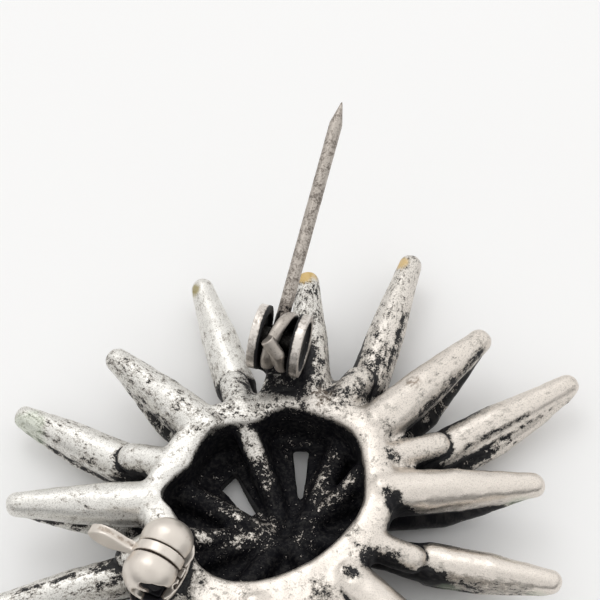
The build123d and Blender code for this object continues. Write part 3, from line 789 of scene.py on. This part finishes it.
for name, spots in ENAMEL.items():
    out = np.zeros(len(co))
    for x, y, z, r, strength in spots:
        d = np.linalg.norm(co - np.array((x, y, z)), axis=1) + 0.22 * r * lumps(co, 0.9, 8)
        out = np.maximum(out, strength * smoothstep(d, r * 1.2, r * 0.75))
    attribute(body, name, out)

# ---- joint, catch and wire: painted shade where the sky is hidden and on faces turned down
j = math.radians(JOINT_DEG)
for o, base, hidden_shade in ((joint, 0.22, 0.95), (catch, 0.13, 0.55), (rotor, 0.13, 0.48)):
    s = sky[o.name]
    d = base + hidden_shade * smoothstep(s, 0.72, 0.25) + 0.12 * smoothstep(normals(o)[:, 2], 0.2, -0.6)
    if o is joint:
        q = points(o) - np.array(JOINT)
        side = np.abs(q[:, 0] * math.cos(j) + q[:, 1] * math.sin(j))
        r = np.hypot(-q[:, 0] * math.sin(j) + q[:, 1] * math.cos(j), q[:, 2])
        # black inner faces and dishes, bright rims
        d += 0.75 * smoothstep(side, 1.80, 1.52) + 0.40 * smoothstep(r, 2.50, 2.25) + 0.10
        # painted shade low on the joint, under the ears
        d += 0.5 * smoothstep(q[:, 2], -2.6, -3.4)
    if o is rotor:
        # painted shade in the lever's crease
        d += 0.34 * lever_crease(points(o), normals(o))
    if o is not joint:
        q = points(o) - np.array(CATCH)
        t = math.radians(CATCH_DEG)
        across = q[:, 1] * math.cos(t) - q[:, 0] * math.sin(t)
        out = q[:, 0] * math.cos(t) + q[:, 1] * math.sin(t)
    if o is rotor:
        # painted shade on the rotor's ends, where it runs into the domes
        d += 1.2 * smoothstep(np.abs(across), 1.3, 1.7)
    if o is catch:
        # painted shade in its bore, in the near dome's crescent and in the gap above the foot's lip
        d += 0.9 * smoothstep(np.hypot(out, q[:, 2]), 1.98, 1.78) * smoothstep(np.abs(across), 3.12, 2.98)
        d += 1.2 * smoothstep(np.abs(q[:, 2]), 1.02, 0.88) * smoothstep(across, -2.85, -3.05) * smoothstep(out, -0.1, 0.25)
        d += 1.4 * crescent(points(o))
        d += 1.1 * smoothstep(across, -2.2, -2.8) * smoothstep(q[:, 2], -1.15, -1.5) * smoothstep(q[:, 2], -2.35, -2.12)
    attribute(o, "dark", d)
# the wire: painted shade on the coil where the ears hide the sky and at the stem's base between the ears, painted light
# on the coil's open parts, and a lighter cut end
q = points(pin) - np.array(JOINT)
r = np.hypot(-q[:, 0] * math.sin(j) + q[:, 1] * math.cos(j), q[:, 2])
coil = smoothstep(r, 4.6, 3.6)
ear_shade = smoothstep(sky["pin_wire"], 0.72, 0.30)
ahead = q[:, 0] * math.sin(j) - q[:, 1] * math.cos(j)
side = q[:, 0] * math.cos(j) + q[:, 1] * math.sin(j)
cut_end = smoothstep(np.sqrt((ahead - 1.95) ** 2 + (q[:, 2] - 2.95) ** 2 + (side + 0.68) ** 2), 1.1, 0.6)
base = smoothstep(r, 2.6, 3.4) * smoothstep(r, 5.2, 4.0) * smoothstep(q[:, 1], 1.0, 2.0)
attribute(pin, "dark", 0.9 * ear_shade * coil * (1 - cut_end) - 0.22 * coil * (1 - ear_shade) + 0.50 * base - 0.35 * cut_end)
attribute(rivet, "dark", np.full(len(rivet.data.vertices), 0.3))

finish_piece(body, "brooch", "burst_casting", casting_material())
finish_piece(joint, "brooch", "burst_casting",
             finding_material("joint_plating", (0.80, 0.75, 0.70, 1), (0.46, 0.42, 0.38, 1), (0.010, 0.010, 0.011, 1), 0.34))
plate = finding_material("catch_plating", (0.76, 0.70, 0.635, 1), (0.50, 0.43, 0.37, 1), (0.12, 0.095, 0.080, 1), 0.38)
finish_piece(catch, "brooch", "burst_casting", plate)
finish_piece(rotor, "catch_lock", "catch_rotor", plate)
finish_piece(pin, "pin", "pin_stem", wire_material("pin_wire", (0.51, 0.465, 0.42, 1), (0.19, 0.165, 0.145, 1)))
finish_piece(rivet, "brooch", "joint_rivet", wire_material("rivet_steel", (0.10, 0.095, 0.09, 1), (0.03, 0.028, 0.026, 1)))

# ---------------------------------------------------------------- floor and light
bm = bmesh.new()
bmesh.ops.create_grid(bm, x_segments=8, y_segments=8, size=1.2)
mesh = bpy.data.meshes.new("floor")
bm.to_mesh(mesh)
bm.free()
floor = link(mesh, "floor")
floor.location = (0, 0.2, -0.00002)
fm, nt = new_material("floor")
n = Nodes(nt)
sep = nt.nodes.new("ShaderNodeSeparateXYZ")
nt.links.new(n.object, sep.inputs[0])
sheet = n.mix(n.noise(60.0, 2.0, 0.5), (0.905, 0.905, 0.905, 1), (0.925, 0.925, 0.925, 1))
# the floor turns grey towards the front (y below -0.25 m): painted shade standing in for a dark room on that side
n.surface(Base_Color=n.mix(n.step(sep.outputs["Y"], -0.25, -0.36), sheet, (0.40, 0.40, 0.40, 1)), Roughness=0.9)
floor.data.materials.append(fm)

world = bpy.data.worlds.new("studio")
bpy.context.scene.world = world
world.use_nodes = True
wt = world.node_tree
wt.nodes.clear()
w = Nodes(wt)
coord = wt.nodes.new("ShaderNodeTexCoord").outputs["Generated"]
sep = wt.nodes.new("ShaderNodeSeparateXYZ")
wt.links.new(coord, sep.inputs[0])
toward = wt.nodes.new("ShaderNodeVectorMath")
toward.operation = "DOT_PRODUCT"
wt.links.new(coord, toward.inputs[0])
toward.inputs[1].default_value = (0.0, -0.545, 0.839)
person = w.step(toward.outputs["Value"], 0.85, 0.97, 1.0, 0.78)
front = w.step(sep.outputs["Y"], 0.1, -0.6)
low = w.step(sep.outputs["Z"], 0.62, 0.20)
horizon = w.math("SUBTRACT", 1.0, w.math("MULTIPLY", w.math("MULTIPLY", front, low), 0.80))
around = w.step(sep.outputs["Z"], 0.05, 0.32, 0.50, 1.0)
strength = w.math("MULTIPLY", w.math("MULTIPLY", w.math("MULTIPLY", person, horizon), around), 1.045)
bg = wt.nodes.new("ShaderNodeBackground")
bg.inputs["Color"].default_value = (1.0, 0.995, 0.985, 1)
wt.links.new(strength, bg.inputs["Strength"])
out = wt.nodes.new("ShaderNodeOutputWorld")
wt.links.new(bg.outputs[0], out.inputs["Surface"])


def area(name, where, target, size, power, colour=(1, 1, 1)):
    data = bpy.data.lights.new(name, "AREA")
    data.shape, data.size, data.energy, data.color = "DISK", size, power, colour
    obj = bpy.data.objects.new(name, data)
    bpy.context.scene.collection.objects.link(obj)
    obj.location = where
    obj.rotation_euler = (Vector(target) - Vector(where)).to_track_quat("-Z", "Y").to_euler()


area("softbox", (-0.12, 0.26, 0.45), (0, 0, 0), 0.30, 0.30)

scene = bpy.context.scene
scene.view_settings.view_transform = "Standard"
scene.view_settings.look = "None"
scene.view_settings.exposure = 0.0
